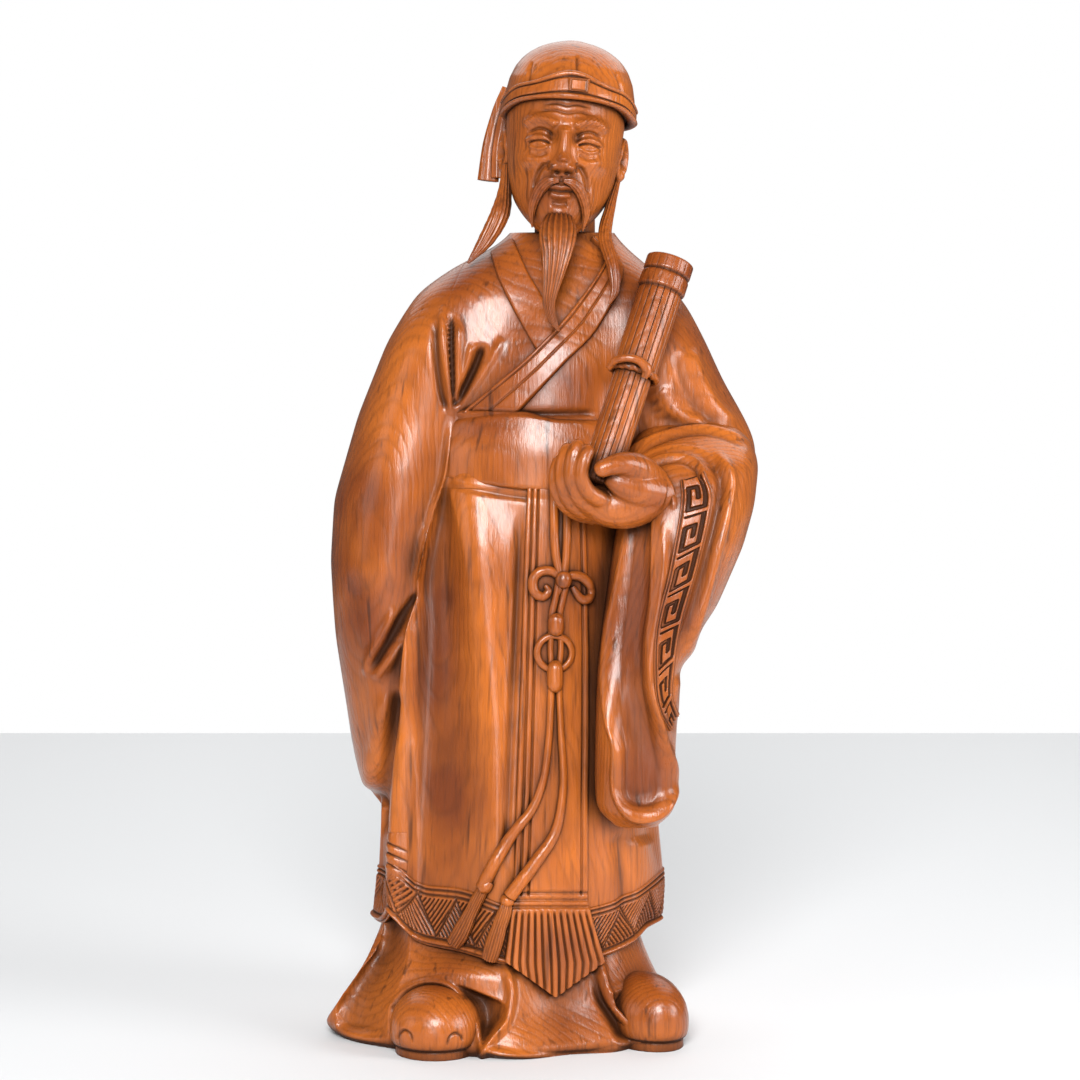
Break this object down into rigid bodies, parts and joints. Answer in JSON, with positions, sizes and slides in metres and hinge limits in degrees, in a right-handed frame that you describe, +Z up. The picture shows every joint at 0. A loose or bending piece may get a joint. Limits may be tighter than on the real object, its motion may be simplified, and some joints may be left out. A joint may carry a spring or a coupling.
{
  "type": "okimono carving",
  "caption": "Standing robed scholar carved in boxwood, holding a bundle of bamboo slips, for display on a shelf or desk.",
  "frame": {"origin": "on the table, at the middle of the figure's base, under the axis of the robe", "axes": "+Z up, the figure faces -Y, its left hand and bundle are on +X"},
  "size_m": [0.09, 0.0612, 0.1998],
  "materials": {
    "boxwood": "satin",
    "peg_wood": "matt"
  },
  "bodies": {
    "root": {"robe_body": "boxwood", "sash": "boxwood", "front_panel": "boxwood", "collar_left": "boxwood", "collar_right": "boxwood", "collar_back": "boxwood", "right_sleeve": "boxwood", "left_sleeve": "boxwood", "bamboo_slips": "boxwood", "bundle_tie": "boxwood", "left_hand": "boxwood", "head": "boxwood", "cap": "boxwood", "cap_band": "boxwood", "cap_jewel": "boxwood", "cap_ribbon": "boxwood", "moustache": "boxwood", "beard": "boxwood", "right_hair_lock": "boxwood", "left_hair_lock": "boxwood", "waist_cord": "boxwood", "cord_bow": "boxwood", "cord_beads": "boxwood", "pendant_ring": "boxwood", "tassel_cords": "boxwood", "tassels": "boxwood", "underskirt": "boxwood", "right_shoe": "boxwood", "left_shoe": "boxwood", "neck_peg": "peg_wood", "base_peg": "peg_wood", "wrist_peg": "peg_wood"}
  },
  "joints": []
}
